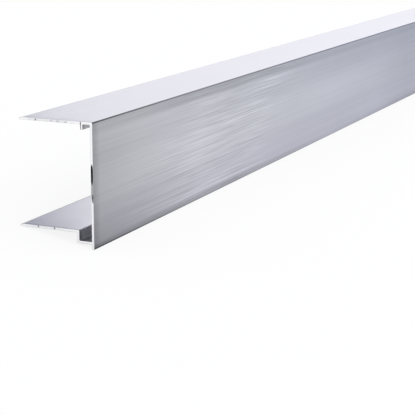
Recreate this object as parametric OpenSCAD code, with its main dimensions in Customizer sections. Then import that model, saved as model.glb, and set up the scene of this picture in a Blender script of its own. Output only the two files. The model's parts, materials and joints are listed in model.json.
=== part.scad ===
// Edge profile of extruded aluminium: a channel for a panel, with a drain gutter and a drip edge.
// Sizes are in millimetres. X runs along the stock, Z is up and the floor is at z = 0.
// The stock leans as it comes to rest, on its drip edge and on the tip of its lower flange.

/* [Stock] */
// Length of the piece of stock
length = 1000; // [100:10:6000]

/* [Panel channel] */
// Clear height between the two flanges, which is the thickness of the panel
panel_gap = 60; // [30:0.5:120]
// Reach of the upper flange, from the outer face of the web to its tip
upper_reach = 47; // [36:0.5:90]
// Reach of the lower flange, from the outer face of the web to its tip
lower_reach = 48; // [36:0.5:90]
// Thickness of both flanges
flange_t = 1.5; // [1.3:0.1:2.5]
// Thickness of the web and its drip edge
web_t = 1.5; // [1.2:0.1:2.5]

/* [Drain gutter] */
// Clear width of the gutter between the web and the riser
gutter_w = 8; // [5:0.1:14]
// Depth of the gutter below the seat of the panel
gutter_depth = 6; // [4:0.1:12]
// Thickness of the gutter's floor and riser
gutter_t = 1.5; // [1.2:0.1:2.5]
// Drop of the drip edge below the gutter
drip_drop = 3; // [2:0.1:8]

/* [Upper lip] */
// Clear width of the slot between the web and the lip
lip_gap = 4.6; // [3:0.1:9]
// Length by which the lip hangs below the upper flange
lip_drop = 3; // [1.5:0.1:8]
// Thickness of the lip
lip_t = 1.5; // [1.2:0.1:2.5]

/* [Tips] */
// Length of the bevel on the upper side of each tip
bevel_len = 2.4; // [1:0.1:6]
// Depth of the bevel
bevel_depth = 0.6; // [0.2:0.05:1]

/* [Grooves] */
// Width of a groove at its mouth, on the underside of a flange
groove_w = 0.8; // [0.4:0.05:1.6]
// Width of a groove at its floor
groove_floor_w = 0.6; // [0.2:0.05:1.6]
// Most depth of a groove
groove_depth = 1.1; // [0.2:0.05:1.6]
// Least wall that a groove leaves above it
groove_skin = 0.4; // [0.3:0.05:0.8]
// Distance from the upper tip to its first groove
upper_inset = 11; // [8:0.5:16]
// Distance from the lower tip to its first groove
lower_inset = 12; // [8:0.5:16]
// Distance between the grooves under the upper flange
upper_pitch = 10; // [5:0.5:20]
// Distance between the grooves under the lower flange
lower_pitch = 10.5; // [5:0.5:20]
// Most grooves under the upper flange
upper_grooves = 2; // [0:1:4]
// Most grooves under the lower flange
lower_grooves = 2; // [0:1:4]

/* [Edges] */
// Radius of the free edges
edge_r = 0.25; // [0.1:0.05:0.28]
// Radius of the outer corners, at the top of the web and at the seat
corner_r = 0.5; // [0.2:0.05:0.6]
// Radius of the inner corners
root_r = 0.5; // [0.2:0.05:0.6]

/* [Hidden] */
$fn = 48;

// Heights above the lower end of the drip edge
floor_low = drip_drop;
floor_top = floor_low + gutter_t;
seat = floor_top + gutter_depth;
seat_low = seat - flange_t;
ceiling = seat + panel_gap;
web_h = ceiling + flange_t;
lip_low = ceiling - lip_drop;

// Distances from the outer face of the web
lip_in = web_t + lip_gap;
lip_out = lip_in + lip_t;
riser_in = web_t + gutter_w;
riser_out = riser_in + gutter_t;
upper_first = upper_reach - upper_inset;
lower_first = lower_reach - lower_inset;

// Depth that the flange has room for
groove_cut = min(groove_depth, flange_t - groove_skin);

// Room that the grooves leave beside the lip and the riser
groove_clear = root_r + groove_w;
upper_room = upper_first - lip_out - groove_clear;
lower_room = lower_first - riser_out - groove_clear;
upper_count = min(upper_grooves, floor(upper_room / upper_pitch) + 1);
lower_count = min(lower_grooves, floor(lower_room / lower_pitch) + 1);

// Length by which cuts run past the faces they open in
over = edge_r;
bevel_slope = bevel_depth / bevel_len;

// Lean at rest: the drip edge stays down and the tip or the gutter meets the floor
tip_lean = atan(seat_low / (lower_reach - web_t));
gutter_lean = atan(floor_low / (riser_out - web_t));
lean = min(tip_lean, gutter_lean);
lift = (web_t - edge_r) * sin(lean) - edge_r * cos(lean) + edge_r;

// Front and back of the leaning stock
front = edge_r * (cos(lean) + sin(lean)) - edge_r;
upper_back = upper_reach * cos(lean) + (web_h - bevel_depth) * sin(lean);
lower_back = lower_reach * cos(lean) + (seat - bevel_depth) * sin(lean);
middle = (front + max(upper_back, lower_back)) / 2;

// Turns that bring the section's plane upright across X
quarter = 90;

// Spandrel between a corner and its circle; "side" points from the corner to the centre
module spandrel(corner, side, r) {
  translate(corner)
    scale(side)
      difference() {
        square(r);
        translate([r, r])
          circle(r);
      }
}

// A flat wall of the section, given by two opposite corners
module wall(low, high) {
  translate(low)
    square(high - low);
}

// Web, flanges, gutter and lip, still with square corners
module walls() {
  wall([0, 0], [web_t, web_h]);
  wall([0, ceiling], [upper_reach, web_h]);
  wall([lip_in, lip_low], [lip_out, web_h]);
  wall([0, floor_low], [riser_out, floor_top]);
  wall([riser_in, floor_low], [riser_out, seat]);
  wall([riser_in, seat_low], [lower_reach, seat]);
}

// Fillets in the inner corners
module roots() {
  spandrel([web_t, ceiling], [1, -1], root_r);
  spandrel([lip_in, ceiling], [-1, -1], root_r);
  spandrel([lip_out, ceiling], [1, -1], root_r);
  spandrel([web_t, floor_top], [1, 1], root_r);
  spandrel([riser_in, floor_top], [-1, 1], root_r);
  spandrel([riser_out, seat_low], [1, -1], root_r);
  spandrel([web_t, floor_low], [1, -1], root_r);
}

// What the outer corners and free edges lose
module rounds() {
  spandrel([0, web_h], [1, -1], corner_r);
  spandrel([riser_in, seat], [1, -1], corner_r);
  spandrel([0, 0], [1, 1], edge_r);
  spandrel([web_t, 0], [-1, 1], edge_r);
  spandrel([riser_out, floor_low], [-1, 1], edge_r);
  spandrel([lip_in, lip_low], [1, 1], edge_r);
  spandrel([lip_out, lip_low], [-1, 1], edge_r);
  spandrel([upper_reach, ceiling], [-1, 1], edge_r);
  spandrel([lower_reach, seat_low], [-1, 1], edge_r);
}

// Bevel that thins a tip, cut into the upper side of a flange at height "face"
module bevel(tip, face) {
  translate([tip, face])
    polygon([
      [-bevel_len, 0],
      [-bevel_len, over],
      [over, over],
      [over, -bevel_depth - over * bevel_slope]
    ]);
}

// Grooves in the underside at height "face", stepping from the first one to the web
module grooves(face, first, pitch, count) {
  for (step = [0 : 1 : count - 1])
    translate([first - step * pitch, face])
      polygon([
        [-groove_w / 2, 0],
        [-groove_w / 2, -over],
        [groove_w / 2, -over],
        [groove_w / 2, 0],
        [groove_floor_w / 2, groove_cut],
        [-groove_floor_w / 2, groove_cut]
      ]);
}

// The whole section: X from the web's outer face, Y up from the drip edge
module section() {
  difference() {
    union() {
      walls();
      roots();
    }
    rounds();
    bevel(upper_reach, web_h);
    bevel(lower_reach, seat);
    grooves(ceiling, upper_first, upper_pitch, upper_count);
    grooves(seat_low, lower_first, lower_pitch, lower_count);
  }
}

module profile() {
  color("silver")
    translate([0, -middle, lift])
      rotate([-lean, 0, 0])
        rotate([quarter, 0, quarter])
          linear_extrude(height = length, center = true)
            section();
}

profile();
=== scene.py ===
# Length of mill-finish aluminium edge profile, lying on a white studio floor
import json
import math
import random

import bpy
from mathutils import Euler, Matrix, Vector


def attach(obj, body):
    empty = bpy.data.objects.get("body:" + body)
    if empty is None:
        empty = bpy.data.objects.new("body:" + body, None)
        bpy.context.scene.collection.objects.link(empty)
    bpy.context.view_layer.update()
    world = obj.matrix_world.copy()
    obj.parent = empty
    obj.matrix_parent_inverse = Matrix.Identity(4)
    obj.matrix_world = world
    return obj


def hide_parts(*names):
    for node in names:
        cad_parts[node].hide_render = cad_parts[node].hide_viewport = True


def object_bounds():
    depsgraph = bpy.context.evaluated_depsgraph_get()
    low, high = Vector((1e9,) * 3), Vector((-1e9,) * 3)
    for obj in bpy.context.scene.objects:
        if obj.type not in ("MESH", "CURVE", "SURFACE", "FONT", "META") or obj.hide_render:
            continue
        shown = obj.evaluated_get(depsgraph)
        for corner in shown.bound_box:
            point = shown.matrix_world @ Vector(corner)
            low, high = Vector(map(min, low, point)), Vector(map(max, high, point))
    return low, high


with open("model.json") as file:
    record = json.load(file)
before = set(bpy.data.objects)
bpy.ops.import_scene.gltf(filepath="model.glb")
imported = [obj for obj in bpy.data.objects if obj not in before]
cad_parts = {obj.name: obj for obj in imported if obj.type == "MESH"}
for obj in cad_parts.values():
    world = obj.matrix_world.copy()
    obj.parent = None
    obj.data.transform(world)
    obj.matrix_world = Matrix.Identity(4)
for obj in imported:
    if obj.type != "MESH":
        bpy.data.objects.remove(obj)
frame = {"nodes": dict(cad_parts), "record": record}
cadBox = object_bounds()
scene = bpy.context.scene
scene.view_settings.view_transform = "Standard"

# The section's own axes, which lean with the stock
mounts = {m["name"]: m for m in frame["record"]["mounts"]}
along = Vector((1, 0, 0))
reach = -Vector(mounts["web_face"]["axis"]).normalized()  # from the web to the flange tips
rise = Vector(mounts["top_face"]["axis"]).normalized()  # up the web
lean = math.atan2(rise.y, rise.z)
webSpot = Vector(mounts["web_face"]["pos_m"])
topSpot = Vector(mounts["top_face"]["pos_m"])
nearEnd, farEnd = cadBox[0].x, cadBox[1].x
halfWeb = (topSpot - webSpot).dot(rise)  # the web's mount is half way up it
webHeight = 2 * halfWeb
topEdge = webSpot + rise * halfWeb  # web and top face would meet here
topEdge.x = nearEnd
sectionFrame = Matrix.Translation(topEdge) @ Matrix((along, reach, rise)).transposed().to_4x4()
print("frame loaded, section leans", round(math.degrees(lean), 2), "degrees")


# Operators

def deselectAll():
    if bpy.context.object and bpy.context.object.mode != "OBJECT":
        bpy.ops.object.mode_set(mode="OBJECT")
    bpy.ops.object.select_all(action="DESELECT")


def startEdit(piece, mode="FACE"):
    deselectAll()
    piece.select_set(True)
    bpy.context.view_layer.objects.active = piece
    bpy.ops.object.mode_set(mode="EDIT")
    bpy.ops.mesh.select_mode(type=mode)


def endEdit():
    bpy.ops.object.mode_set(mode="OBJECT")


def pick(piece, elements, wanted, mode):
    startEdit(piece, mode)
    bpy.ops.mesh.select_all(action="DESELECT")
    endEdit()
    for element in getattr(piece.data, elements):
        element.select = wanted(element)
    startEdit(piece, mode)


# Camera

camera = {
    "place": (-0.61984, -0.34907, 0.12113),  # metres along, reach and rise from the web's top corner
    "turn": (76.620, -0.115, -65.665),  # degrees about the same axes
    "lens": 114.2,
    "sensor": 36.0,
    "clip": (0.01, 100.0),
}


def makeCamera(spec):
    data = bpy.data.cameras.new("photo_camera")
    data.lens = spec["lens"]
    data.sensor_width = spec["sensor"]
    data.clip_start, data.clip_end = spec["clip"]
    eye = bpy.data.objects.new("photo_camera", data)
    scene.collection.objects.link(eye)
    turn = Euler([math.radians(angle) for angle in spec["turn"]])
    eye.matrix_world = sectionFrame @ Matrix.LocRotScale(Vector(spec["place"]), turn, None)
    scene.camera = eye
    print("camera at", [round(v, 3) for v in eye.matrix_world.translation])


makeCamera(camera)


# Shader helpers

def feed(tree, socket, value):
    if isinstance(value, bpy.types.NodeSocket):
        tree.links.new(value, socket)
    else:
        socket.default_value = value


def addNode(tree, kind, **values):
    node = tree.nodes.new(kind)
    for key, value in values.items():
        if hasattr(node, key):
            setattr(node, key, value)
        else:
            feed(tree, node.inputs[key], value)
    return node


def newGroup(name, inputs, outputs):
    tree = bpy.data.node_groups.new(name, "ShaderNodeTree")
    for way, labels in (("INPUT", inputs), ("OUTPUT", outputs)):
        for label in labels:
            tree.interface.new_socket(label, in_out=way, socket_type="NodeSocketFloat")
    return tree, tree.nodes.new("NodeGroupInput"), tree.nodes.new("NodeGroupOutput")


def useGroup(tree, group, **values):
    node = tree.nodes.new("ShaderNodeGroup")
    node.node_tree = group
    for key, value in values.items():
        node.inputs[key].default_value = value
    return node.outputs


def maths(tree, operation, *values):
    node = addNode(tree, "ShaderNodeMath", operation=operation)
    for socket, value in zip(node.inputs, values):
        feed(tree, socket, value)
    return node.outputs[0]


def times(tree, product, *others):
    for other in others:
        product = maths(tree, "MULTIPLY", product, other)
    return product


def spanned(tree, value, source, target=(0, 1), smooth=False):
    node = addNode(tree, "ShaderNodeMapRange", Value=value)
    node.interpolation_type = "SMOOTHSTEP" if smooth else "LINEAR"
    node.inputs["From Min"].default_value, node.inputs["From Max"].default_value = source
    node.inputs["To Min"].default_value, node.inputs["To Max"].default_value = target
    return node.outputs["Result"]


def blended(tree, factor, first, second, kind="MIX"):
    node = addNode(tree, "ShaderNodeMix", data_type="RGBA", blend_type=kind, Factor=factor)
    sockets = {socket.identifier: socket for socket in node.inputs}
    feed(tree, sockets["A_Color"], first)
    feed(tree, sockets["B_Color"], second)
    return next(socket for socket in node.outputs if socket.identifier == "Result_Color")


def scaledColour(tree, colour, factor):
    node = addNode(tree, "ShaderNodeVectorMath", operation="SCALE", Scale=factor)
    feed(tree, node.inputs[0], colour)
    return node.outputs[0]


def bumped(tree, height, strength, distance):
    node = addNode(tree, "ShaderNodeBump", Height=height, Strength=strength, Distance=distance)
    return node.outputs["Normal"]


def newMaterial(name):
    material = bpy.data.materials.new(name)
    material.use_nodes = True
    tree = material.node_tree
    return material, tree, tree.nodes["Principled BSDF"]


# Place of a point in the section, shared by both finishes

def makeSectionPlace():
    tree, _, out = newGroup("sectionPlace", (), ("Along", "Reach", "Drop"))
    spot = addNode(tree, "ShaderNodeTexCoord").outputs["Object"]
    shift = (-topEdge.x, -topEdge.dot(reach), -topEdge.dot(rise))
    turned = addNode(tree, "ShaderNodeMapping", Vector=spot, Location=shift, Rotation=(lean, 0, 0))
    split = addNode(tree, "ShaderNodeSeparateXYZ", Vector=turned.outputs[0]).outputs
    feed(tree, out.inputs["Along"], split["X"])
    feed(tree, out.inputs["Reach"], split["Y"])
    feed(tree, out.inputs["Drop"], times(tree, split["Z"], -1))
    return tree


# Soft clouding of bare aluminium, shared by both finishes

cloudLook = {
    "stretch": (0.5, 1.6, 1.6),
    "detail": 4.0,
    "roughness": 0.55,
    "middle": 0.5,  # of the noise, which keeps the tone about 1
}


def makeClouding(spec):
    tree, entry, out = newGroup("clouding", ("Scale", "Depth"), ("Tone",))
    spot = addNode(tree, "ShaderNodeTexCoord").outputs["Object"]
    stretched = addNode(tree, "ShaderNodeMapping", Vector=spot, Scale=spec["stretch"])
    cloud = addNode(tree, "ShaderNodeTexNoise", Vector=stretched.outputs[0],
                    Scale=entry.outputs["Scale"], Detail=spec["detail"], Roughness=spec["roughness"])
    off = maths(tree, "SUBTRACT", cloud.outputs["Fac"], spec["middle"])
    swing = times(tree, off, entry.outputs["Depth"])
    feed(tree, out.inputs["Tone"], maths(tree, "ADD", swing, 1.0))
    return tree


sectionPlace = makeSectionPlace()
clouding = makeClouding(cloudLook)


# Tone curves, given as places and tones

def toneCurve(tree, value, points):
    tones = (0.0, 1.5)  # the node runs from 0 to 1, for tones between these
    node = addNode(tree, "ShaderNodeFloatCurve", Value=value)
    curve = node.mapping.curves[0]
    ready = len(curve.points)  # a new curve has its two ends
    for i, (where, tone) in enumerate(points):
        level = (tone - tones[0]) / (tones[1] - tones[0])
        point = curve.points[i] if i < ready else curve.points.new(where, level)
        point.location = (where, level)
    for point in curve.points:
        point.handle_type = "VECTOR"
    node.mapping.update()
    return spanned(tree, node.outputs[0], (0, 1), tones)


def toned(tree, tone, mask):
    return maths(tree, "ADD", times(tree, maths(tree, "SUBTRACT", tone, 1.0), mask), 1.0)


def inBox(tree, place, low, high):
    soft = 0.0001  # metres either side of each limit
    mask = 1.0
    for output, start, end in zip(("Reach", "Drop"), low, high):
        mask = times(tree, spanned(tree, place[output], (start - soft, start + soft)), mask)
        mask = times(tree, spanned(tree, place[output], (end - soft, end + soft), (1, 0)), mask)
    return mask


# Mill finish of the extruded faces, with painted reflections, highlights and shade

millFinish = {
    "dark": (0.557, 0.555, 0.572, 1),
    "light": (0.605, 0.602, 0.620, 1),
    "coolFoot": ((0.50, 0.85), (0.995, 0.990, 1.030, 1)),  # heights that a tint comes in over
    "broadLines": ((0.35, 420, 420), 3.0, (0.30, 0.70)),  # noise cells per metre, detail, span used
    "fineLines": ((0.8, 1500, 1500), 2.0, (0.25, 0.75)),
    "hairLines": ((14.0, 1600, 1600), 3.0, (0.30, 0.70)),
    "lineRoughness": 0.6,  # of the three noises
    "broadShare": 0.6,  # broad lines against fine ones
    "lineMiddle": 0.5,  # of both, half way from dark to light
    "hairDepth": 0.48,  # swing of the hair lines' tone on the web
    "dieLinesAndGlints": [  # strongest die lines on the web, painted as glints where their tone is above 1 and as shaded lines below it: share of its height from the top, tone
        (0.10, 1.06), (0.20, 0.96), (0.36, 0.92), (0.39, 1.13), (0.45, 0.95), (0.61, 0.94), (0.63, 1.13),
        (0.65, 0.90), (0.68, 1.08), (0.70, 0.92), (0.77, 1.06), (0.80, 0.94), (0.92, 1.25)],
    "dieLineHalf": 0.009,  # half of such a line's width, as a share of the web's height
    "lineShow": [  # how strongly hair and die lines show, by share of the stock's length: mostly within a painted sheen
        (0.00, 0.12), (0.05, 0.19), (0.16, 1.00), (0.24, 1.00), (0.30, 0.10), (1.00, 0.08)],
    "lineSlant": (0.5, 0.09),  # middle height, and their shift along the stock from foot to top
    "flangeLines": 0.15,  # share of the broad and fine lines that the other faces show
    "webReach": (0.0003, 0.0006),  # the web's outer face ends between these
    "paintedSheenAlong": [  # painted reflection along the web's outer face, brightest in a painted highlight near the near end: tone by share of the stock's length
        (0.00, 0.94), (0.045, 1.07), (0.14, 1.22), (0.20, 1.12), (0.37, 1.07), (0.52, 1.00),
        (0.62, 0.85), (1.00, 0.89)],
    "paintedWebBands": [  # painted reflection and shade in bands across the web: a dark line along the top edge, darker strips below it, a slightly lighter middle and dark bands along the foot; start, end and their softness, by share of the web's height; tones along the stock
        ((-0.02, 0.012), (0.010, 0.003), [
            (0.00, 0.26), (0.10, 0.40), (1.00, 0.47)]),
        ((0.012, 0.088), (0.003, 0.020), [
            (0.00, 0.97), (0.10, 0.79), (0.26, 0.76), (0.38, 0.89), (1.00, 0.95)]),
        ((0.020, 0.240), (0.040, 0.120), [
            (0.00, 1.05), (0.14, 0.935), (0.27, 0.965), (0.38, 0.86), (1.00, 0.93)]),
        ((0.360, 0.600), (0.100, 0.100), [
            (0.00, 1.00), (0.14, 1.03), (0.28, 1.01), (0.42, 1.06), (0.62, 0.96), (1.00, 0.98)]),
        ((0.680, 0.920), (0.080, 0.020), [
            (0.00, 1.00), (0.10, 0.96), (0.40, 0.95), (0.60, 1.00), (1.00, 1.00)]),
        ((0.946, 0.987), (0.014, 0.003), [
            (0.00, 0.92), (0.02, 0.96), (0.05, 0.91), (0.075, 0.78), (0.11, 0.69), (0.28, 0.79),
            (0.40, 0.94), (0.62, 0.87), (1.00, 0.88)]),
        ((0.966, 0.987), (0.018, 0.003), [
            (0.00, 0.66), (0.02, 0.74), (0.05, 0.79), (0.08, 0.91), (0.12, 0.95), (0.20, 1.00),
            (1.00, 1.00)]),
        ((0.987, 1.020), (0.003, 0.010), [
            (0.00, 0.16), (0.07, 0.40), (0.20, 0.58), (0.45, 0.84), (1.00, 0.88)])],
    "nearFootShade": (0.18, (0.50, 1.0), 0.70),  # painted shade on the web's lower half near the near end: share of the length that it fades over, heights, tone
    "nearTipLight": (0.06, (0.018, 0.036), (0.01, 0.02), 1.10),  # painted light on the upper flange towards its tip, near the near end; the same as above, by reach too
    "places": {  # painted light and shade by place in the section: a lighter gutter with a darker floor, lighter walls in the upper groove and the slot beside the lip, a painted highlight along the seat's edge, a seat lighter towards the web, darker bevels, and most of them darker towards the near end; reach and drop from and to, tones along one of the two, depth and tone of the near rim
        "web": ((-0.001, -0.001), (0.00045, 0.073), "Drop", (1.00, 1.00), (0.008, 0.72)),
        "topFace": ((0.0005, -0.001), (0.0446, 0.0010), "Reach", (1.00, 1.00), (0.008, 0.87)),
        "upperBevel": ((0.0446, -0.001), (0.0472, 0.0011), "Reach", (0.89, 0.89), (0.008, 0.87)),
        "innerGroove": ((0.0254, 0.0003), (0.0266, 0.0016), "Drop", (1.60, 1.60), (0.004, 1.00)),
        "slotBesideLip": ((0.0014, 0.0014), (0.0062, 0.0046), "Drop", (1.20, 1.58), (0.004, 0.55)),
        "seatEdge": ((0.0093, 0.0605), (0.0104, 0.0620), "Reach", (1.32, 1.32), (0.0024, 0.60)),
        "seatStrip": ((0.0104, 0.0605), (0.0200, 0.0620), "Reach", (1.10, 1.00), (0.0024, 1.00)),
        "seat": ((0.0104, 0.0610), (0.0456, 0.0620), "Reach", (1.15, 1.00), (0.0024, 0.60)),
        "seatNear": ((0.0093, 0.0605), (0.0456, 0.0620), "Reach", (1.00, 1.00), (0.024, 0.88)),
        "lowerBevel": ((0.0456, 0.0610), (0.0482, 0.0622), "Reach", (0.87, 0.87), (0.0018, 0.60)),
        "gutter": ((0.0014, 0.0620), (0.0097, 0.0690), "Drop", (1.20, 1.25), (0.004, 0.66)),
        "gutterFloor": ((0.0014, 0.0668), (0.0094, 0.0690), "Drop", (0.50, 0.50), (0.004, 1.00)),
    },
    "cloudScale": 14.0,
    "cloudDepth": 0.10,
    "rough": (0.32, 0.22),  # between the lines and on them
    "webRough": 0.10,  # the web's outer face is this much duller
    "gutterRough": 0.15,  # and the gutter this much
    "brushed": 0.85,  # die lines spread reflections across the stock
    "lineDepth": 0.000006,
    "lineBump": 1.0,
}


def linePoints(lines, half):
    points = [(0, 1)]
    for height, tone in lines:
        points += [(height - half, 1), (height, tone), (height + half, 1)]
    return points + [(1, 1)]


def fadeFromNear(tree, lengthShare, fade):
    return spanned(tree, lengthShare, (0, fade), (1, 0), True)


def drawnLines(tree, spot, lines, roughness, target=(0, 1)):
    cells, detail, span = lines
    stretched = addNode(tree, "ShaderNodeMapping", Vector=spot, Scale=cells)
    noise = addNode(tree, "ShaderNodeTexNoise", Vector=stretched.outputs[0],
                    Scale=1.0, Detail=detail, Roughness=roughness)
    return spanned(tree, noise.outputs["Fac"], span, target)


def streaks(tree, spot, onWeb, spec):
    broad = drawnLines(tree, spot, spec["broadLines"], spec["lineRoughness"])
    fine = drawnLines(tree, spot, spec["fineLines"], spec["lineRoughness"])
    share = spec["broadShare"]
    both = maths(tree, "ADD", times(tree, broad, share), times(tree, fine, 1 - share))
    shown = spanned(tree, onWeb, (0, 1), (spec["flangeLines"], 1))
    swing = maths(tree, "SUBTRACT", both, spec["lineMiddle"])
    return maths(tree, "ADD", times(tree, swing, shown), spec["lineMiddle"])


# Web tone: the metal's own hair and die lines, shown within a painted sheen, with painted glints,
# painted reflection along the stock, painted bands and painted shade at the foot
def webTones(tree, spot, lengthShare, heightShare, spec):
    half = spec["hairDepth"] / 2
    slantHeight, slantLength = spec["lineSlant"]
    slant = times(tree, maths(tree, "SUBTRACT", heightShare, slantHeight), slantLength)
    show = toneCurve(tree, maths(tree, "ADD", lengthShare, slant), spec["lineShow"])
    hair = drawnLines(tree, spot, spec["hairLines"], spec["lineRoughness"], (1 - half, 1 + half))
    strong = toneCurve(tree, heightShare, linePoints(spec["dieLinesAndGlints"], spec["dieLineHalf"]))
    # painted reflection along the stock, times the hair and die lines with their painted glints
    tone = times(tree, toneCurve(tree, lengthShare, spec["paintedSheenAlong"]),
                 toned(tree, hair, show), toned(tree, strong, show))
    # painted reflection and shade in bands across the web
    for (start, end), (startSoft, endSoft), tones in spec["paintedWebBands"]:
        below = spanned(tree, heightShare, (start - startSoft, start + startSoft), (0, 1), True)
        above = spanned(tree, heightShare, (end - endSoft, end + endSoft), (1, 0), True)
        band = times(tree, below, above)
        tone = times(tree, tone, toned(tree, toneCurve(tree, lengthShare, tones), band))
    # painted shade on the web's lower half, fading away from the near end
    fade, heights, footTone = spec["nearFootShade"]
    foot = times(tree, fadeFromNear(tree, lengthShare, fade),
                 spanned(tree, heightShare, heights, (0, 1), True))
    return times(tree, tone, spanned(tree, foot, (0, 1), (1, footTone)))


# painted light on the upper flange towards its tip, fading away from the near end
def upperTipLight(tree, place, lengthShare, heightShare, spec):
    fade, reaches, heights, tipTone = spec["nearTipLight"]
    tip = times(tree, fadeFromNear(tree, lengthShare, fade),
                spanned(tree, place["Reach"], reaches, (0, 1), True),
                spanned(tree, heightShare, heights, (1, 0)))
    return spanned(tree, tip, (0, 1), (1, tipTone))


# painted light and shade over one box of the section, with a darker or lighter rim at the near end
def placeLightAndShade(tree, place, low, high, axis, tones, rim):
    side = ("Reach", "Drop").index(axis)
    rimDepth, rimTone = rim
    shade = spanned(tree, place[axis], (low[side], high[side]), tones)
    nearShade = spanned(tree, place["Along"], (0, rimDepth), (rimTone, 1))
    return toned(tree, times(tree, shade, nearShade), inBox(tree, place, low, high))


def makeMillFinish(spec):
    material, tree, shader = newMaterial("millFinish")
    place = useGroup(tree, sectionPlace)
    spot = addNode(tree, "ShaderNodeTexCoord").outputs["Object"]
    onWeb = spanned(tree, place["Reach"], spec["webReach"], (1, 0))
    lengthShare = maths(tree, "DIVIDE", place["Along"], farEnd - nearEnd)
    heightShare = maths(tree, "DIVIDE", place["Drop"], webHeight)
    streak = streaks(tree, spot, onWeb, spec)
    cloud = useGroup(tree, clouding, Scale=spec["cloudScale"], Depth=spec["cloudDepth"])["Tone"]
    tone = times(tree, cloud, toned(tree, webTones(tree, spot, lengthShare, heightShare, spec), onWeb),
                 upperTipLight(tree, place, lengthShare, heightShare, spec))
    # painted light and shade by place in the section
    for low, high, axis, tones, rim in spec["places"].values():
        tone = times(tree, tone, placeLightAndShade(tree, place, low, high, axis, tones, rim))
    coolHeights, coolTint = spec["coolFoot"]
    cool = times(tree, onWeb, spanned(tree, heightShare, coolHeights, (0, 1), True))
    colour = blended(tree, streak, spec["dark"], spec["light"])
    colour = blended(tree, cool, colour, coolTint, "MULTIPLY")
    inGutter = inBox(tree, place, *spec["places"]["gutter"][:2])
    duller = maths(tree, "ADD", times(tree, onWeb, spec["webRough"]),
                   times(tree, inGutter, spec["gutterRough"]))
    rough = maths(tree, "ADD", spanned(tree, streak, (0, 1), spec["rough"]), duller)
    feed(tree, shader.inputs["Base Color"], scaledColour(tree, colour, tone))
    feed(tree, shader.inputs["Roughness"], rough)
    feed(tree, shader.inputs["Normal"], bumped(tree, streak, spec["lineBump"], spec["lineDepth"]))
    aroundStock = addNode(tree, "ShaderNodeTangent", direction_type="RADIAL", axis="X")
    feed(tree, shader.inputs["Tangent"], aroundStock.outputs[0])
    shader.inputs["Anisotropic"].default_value = spec["brushed"]
    shader.inputs["Metallic"].default_value = 1.0
    return material


# Sawn finish of the two ends, with dark ovals on the near cut, two of them painted shade at the lower
# flange's grooves

sawnFinish = {
    "bright": (0.97, 0.97, 0.98, 1),
    "dull": (0.91, 0.91, 0.93, 1),
    "ovalDark": (0.015, 0.015, 0.018, 1),
    "bladeCentre": (-0.11, -0.09),  # reach and drop of the saw blade's middle
    "toothPitch": 0.0011,
    "cloudScale": 300.0,
    "cloudDepth": 0.6,
    "stray": 6.0,  # radians by which the clouding shifts the saw marks
    "rough": (0.58, 0.45),  # between the marks and on them
    "markDepth": 0.00002,
    "markBump": 0.6,
    "ovalEdge": (0.7, 1.1),  # from the middle of an oval, at 0, past its rim, at 1
    "ovalDepth": (0.001, 0.002),  # ovals fade out between these, so the far end has none
    "darkOvals": [  # dark ovals on the near cut: the two at the lower flange's grooves are painted shade, the others dark marks; reach and its half, drop and its half, strength
        (0.00080, 0.00085, 0.0292, 0.0061, 1.00),
        (0.00055, 0.00095, 0.0380, 0.0060, 0.55),
        (0.00045, 0.00065, 0.0428, 0.0026, 0.72),
        (0.00733, 0.00038, 0.0020, 0.0034, 0.75),
        (0.03600, 0.00038, 0.0622, 0.0012, 0.75),
        (0.02530, 0.00038, 0.0622, 0.0012, 0.75),
        (0.02900, 0.01300, 0.0008, 0.0030, 0.09),
        (0.02180, 0.00110, 0.0011, 0.0011, 0.22),
        (0.01670, 0.00110, 0.0014, 0.0011, 0.28),
        (0.01280, 0.00090, 0.0018, 0.0007, 0.24)],
}


def squareOff(tree, value, middle, half=1.0):
    off = maths(tree, "DIVIDE", maths(tree, "SUBTRACT", value, middle), half)
    return times(tree, off, off)


def sawMarks(tree, place, spec):
    bladeReach, bladeDrop = spec["bladeCentre"]
    squares = maths(tree, "ADD", squareOff(tree, place["Reach"], bladeReach),
                    squareOff(tree, place["Drop"], bladeDrop))
    cloud = useGroup(tree, clouding, Scale=spec["cloudScale"], Depth=spec["cloudDepth"])["Tone"]
    phase = times(tree, maths(tree, "SQRT", squares), math.tau / spec["toothPitch"])
    wave = maths(tree, "SINE", maths(tree, "ADD", phase, times(tree, cloud, spec["stray"])))
    return spanned(tree, wave, (-1, 1))


def makeSawnFinish(spec):
    material, tree, shader = newMaterial("sawnFinish")
    place = useGroup(tree, sectionPlace)
    marks = sawMarks(tree, place, spec)
    colour = blended(tree, marks, spec["dull"], spec["bright"])
    nearOnly = spanned(tree, place["Along"], spec["ovalDepth"], (1, 0))
    # dark ovals on the near cut; the two at the lower flange's grooves are painted shade
    for ovalReach, halfReach, ovalDrop, halfDrop, strength in spec["darkOvals"]:
        squares = maths(tree, "ADD", squareOff(tree, place["Reach"], ovalReach, halfReach),
                        squareOff(tree, place["Drop"], ovalDrop, halfDrop))
        oval = spanned(tree, squares, spec["ovalEdge"], (1, 0), True)
        colour = blended(tree, times(tree, oval, nearOnly, strength), colour, spec["ovalDark"])
    feed(tree, shader.inputs["Base Color"], colour)
    feed(tree, shader.inputs["Roughness"], spanned(tree, marks, (0, 1), spec["rough"]))
    feed(tree, shader.inputs["Normal"], bumped(tree, marks, spec["markBump"], spec["markDepth"]))
    shader.inputs["Metallic"].default_value = 1.0
    return material


mill = makeMillFinish(millFinish)
sawn = makeSawnFinish(sawnFinish)
print("finishes made")


# Profile, drawn out from the outline of its near end

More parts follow.
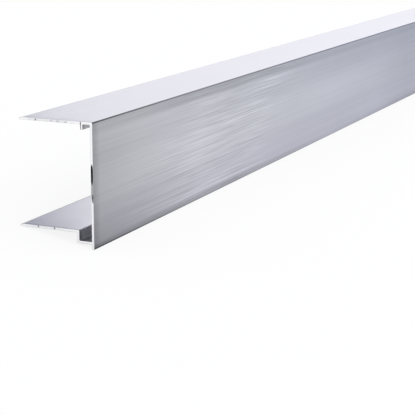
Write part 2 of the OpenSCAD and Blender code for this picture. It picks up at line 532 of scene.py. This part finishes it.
profileSkin = {
    "name": "profile_skin",
    "node": "profile",
    "slot": "aluminium",
    "merge": 0.000001,  # points this near are one
    "endDepth": 0.00001,  # faces within this of the near end are its cut
    "flatAngle": 1,  # degrees between faces that count as one
    "stripWidth": 0.0009,  # die lines lie about this far apart
    "slide": 0.3,  # share of a strip by which a line strays
    "lineDepth": 0.000009,
    "shallow": 2,  # power that leaves most die lines shallower than that
    "straight": 0.999999,  # cosine between two strips of a flat face
    "bays": 24,  # lengths that the stock is drawn out in
    "arrisWidth": 0.00012,  # broken edge round each sawn end
    "arrisDepth": 0.00006,
    "sawnFacing": 0.95,  # faces that look along the stock this squarely are sawn
    "creaseAngle": 28,  # degrees from which an edge stays sharp
    "seed": 11,
}


def outlineOrder(mesh):
    beside = {v.index: [] for v in mesh.vertices}
    for edge in mesh.edges:
        a, b = edge.vertices
        beside[a].append(b)
        beside[b].append(a)
    order, last, here = [], None, 0
    while here != 0 or not order:
        order.append(here)
        onward = [n for n in beside[here] if n != last]
        last, here = here, onward[0]
    return order


def cutNearEnd(spec):
    mesh = frame["nodes"][spec["node"]].data.copy()
    mesh.materials.clear()
    skin = bpy.data.objects.new(spec["name"], mesh)
    scene.collection.objects.link(skin)
    startEdit(skin)
    bpy.ops.mesh.select_all(action="SELECT")
    bpy.ops.mesh.customdata_custom_splitnormals_clear()
    bpy.ops.mesh.remove_doubles(threshold=spec["merge"])
    pick(skin, "polygons", lambda face: face.center.x > nearEnd + spec["endDepth"], "FACE")
    bpy.ops.mesh.delete(type="FACE")
    bpy.ops.mesh.select_all(action="SELECT")
    bpy.ops.mesh.dissolve_limited(angle_limit=math.radians(spec["flatAngle"]))
    bpy.ops.mesh.select_all(action="SELECT")
    bpy.ops.mesh.delete(type="ONLY_FACE")
    endEdit()
    return skin


def cutStrips(skin, spec):
    def cuts(edge):
        a, b = (skin.data.vertices[i].co for i in edge.vertices)
        return max(0, round((a - b).length / spec["stripWidth"]) - 1)

    while True:
        most = max(cuts(edge) for edge in skin.data.edges)
        if most == 0:
            break
        pick(skin, "edges", lambda edge: cuts(edge) == most, "EDGE")
        bpy.ops.mesh.subdivide(number_cuts=most)
        endEdit()


def pressDieLines(skin, spec):
    dice = random.Random(spec["seed"])
    mesh = skin.data
    order = outlineOrder(mesh)
    points = [mesh.vertices[i].co.copy() for i in order]
    turned = sum(a.y * b.z - b.y * a.z for a, b in zip(points, points[1:] + points[:1]))
    for k, index in enumerate(order):
        before, here, after = points[k - 1], points[k], points[(k + 1) % len(points)]
        run, ahead = (here - before).normalized(), (after - here).normalized()
        stray, depth = dice.uniform(-1, 1), dice.random() ** spec["shallow"]
        if run.dot(ahead) < spec["straight"]:
            continue  # a corner or a fillet stays as it is
        outward = Vector((0, run.z, -run.y)) * (1 if turned > 0 else -1)
        step = min((here - before).length, (after - here).length)
        slide, press = stray * spec["slide"] * step, depth * spec["lineDepth"]
        mesh.vertices[index].co = here + run * slide - outward * press


def drawOut(skin, spec):
    bay = (farEnd - nearEnd - 2 * spec["arrisDepth"]) / spec["bays"]
    startEdit(skin)
    bpy.ops.mesh.select_all(action="SELECT")
    bpy.ops.transform.translate(value=(spec["arrisDepth"], 0, 0))
    bpy.ops.mesh.edge_face_add()
    for _ in range(spec["bays"]):
        bpy.ops.mesh.extrude_region_move(TRANSFORM_OT_translate={"value": (bay, 0, 0)})
    bpy.ops.mesh.select_all(action="SELECT")
    bpy.ops.mesh.normals_make_consistent(inside=False)
    pick(skin, "polygons", lambda face: abs(face.normal.x) > spec["sawnFacing"], "FACE")
    bpy.ops.mesh.inset(thickness=spec["arrisWidth"], depth=spec["arrisDepth"], use_individual=True)
    endEdit()


def dressSkin(skin, spec):
    for material in (mill, sawn):
        skin.data.materials.append(material)
    for index, isSawn in enumerate((False, True)):
        pick(skin, "polygons", lambda face: (abs(face.normal.x) > spec["sawnFacing"]) == isSawn, "FACE")
        skin.active_material_index = index
        bpy.ops.object.material_slot_assign()
    endEdit()
    bpy.ops.object.shade_smooth_by_angle(angle=math.radians(spec["creaseAngle"]))
    deselectAll()


def makeProfileSkin(spec):
    skin = cutNearEnd(spec)
    print("outline of the near end:", len(skin.data.vertices), "points")
    cutStrips(skin, spec)
    pressDieLines(skin, spec)
    drawOut(skin, spec)
    dressSkin(skin, spec)
    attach(skin, "root")
    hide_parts(spec["node"])
    print("profile drawn out:", len(skin.data.polygons), "faces")


makeProfileSkin(profileSkin)


# Share of plain white that a ray sees of the floor and of the studio round it

def whiteShare(tree, seen, inMetal):
    path = addNode(tree, "ShaderNodeLightPath").outputs
    plain = maths(tree, "ADD", path["Is Camera Ray"], path["Is Transmission Ray"])
    return maths(tree, "ADD", times(tree, plain, seen), times(tree, path["Is Glossy Ray"], inMetal))


# Floor

studioFloor = {
    "size": 60.0,
    "colour": (0.93, 0.93, 0.93, 1),
    "rough": 0.9,
    "gloss": 0.0,
    "white": 1.0,  # strength of plain white
    "lift": 0.86,  # share of the floor that is plain white, so that its shadow is light
    "metalLift": 0.35,  # the same, where metal shows the floor
}


def makeFloor(spec):
    deselectAll()
    bpy.ops.mesh.primitive_plane_add(size=spec["size"], location=(0, 0, 0))
    floor = bpy.context.object
    floor.name = "studio_floor"
    material, tree, shader = newMaterial("floorPaper")
    shader.inputs["Base Color"].default_value = spec["colour"]
    shader.inputs["Roughness"].default_value = spec["rough"]
    shader.inputs["Specular IOR Level"].default_value = spec["gloss"]
    lift = whiteShare(tree, spec["lift"], spec["metalLift"])
    white = addNode(tree, "ShaderNodeEmission", Strength=spec["white"])
    mixed = addNode(tree, "ShaderNodeMixShader", Fac=lift)
    for socket, part in zip(mixed.inputs[1:], (shader, white)):
        feed(tree, socket, part.outputs[0])
    feed(tree, tree.nodes["Material Output"].inputs["Surface"], mixed.outputs[0])
    floor.data.materials.append(material)


# Light: colours round the stock, and the spans of a ray's direction that they come in over

studioSky = {
    "dim": (0.059, 0.082, 0.141, 1),  # unlit part of the studio, before the web
    "strip": (0.765, 0.765, 0.824, 1),  # tall soft lamp ahead, before the web
    "stripRise": (0.850, 0.895),
    "beyond": (0.094, 0.235, 0.671, 1),  # cool daylight past that lamp
    "stripFall": (0.900, 0.945),
    "dimBack": (0.212, 0.247, 0.376, 1),  # unlit part behind the flanges
    "wall": (1.259, 1.247, 1.353, 1),  # white wall ahead, behind the flanges
    "wallRise": (0.812, 0.852),
    "turn": (-0.10, 0.15),  # from before the web to behind the flanges
    "lamp": (1.047, 1.047, 1.047, 1),  # soft lamp behind the camera
    "lampRise": (-0.10, -0.70),
    "overhead": (1.188, 1.188, 1.200, 1),
    "climb": (0.15, 0.70),
    "white": (1, 1, 1, 1),
    "lift": 1.0,  # share of that white that the camera sees past the floor
    "metalLift": 0.15,  # the same, where metal shows the studio
}


def makeSky(spec):
    world = bpy.data.worlds.new("studio_sky")
    scene.world = world
    world.use_nodes = True
    tree = world.node_tree
    ray = addNode(tree, "ShaderNodeTexCoord").outputs["Generated"]
    split = addNode(tree, "ShaderNodeSeparateXYZ", Vector=ray).outputs

    def share(axis, span):
        return spanned(tree, split[axis], spec[span], (0, 1), True)

    front = blended(tree, share("X", "stripRise"), spec["dim"], spec["strip"])
    front = blended(tree, share("X", "stripFall"), front, spec["beyond"])
    back = blended(tree, share("X", "wallRise"), spec["dimBack"], spec["wall"])
    low = blended(tree, share("Y", "turn"), front, back)
    low = blended(tree, share("X", "lampRise"), low, spec["lamp"])
    sky = blended(tree, share("Z", "climb"), low, spec["overhead"])
    lift = whiteShare(tree, spec["lift"], spec["metalLift"])
    feed(tree, tree.nodes["Background"].inputs["Color"], blended(tree, lift, sky, spec["white"]))


makeFloor(studioFloor)
makeSky(studioSky)
print("studio lit")
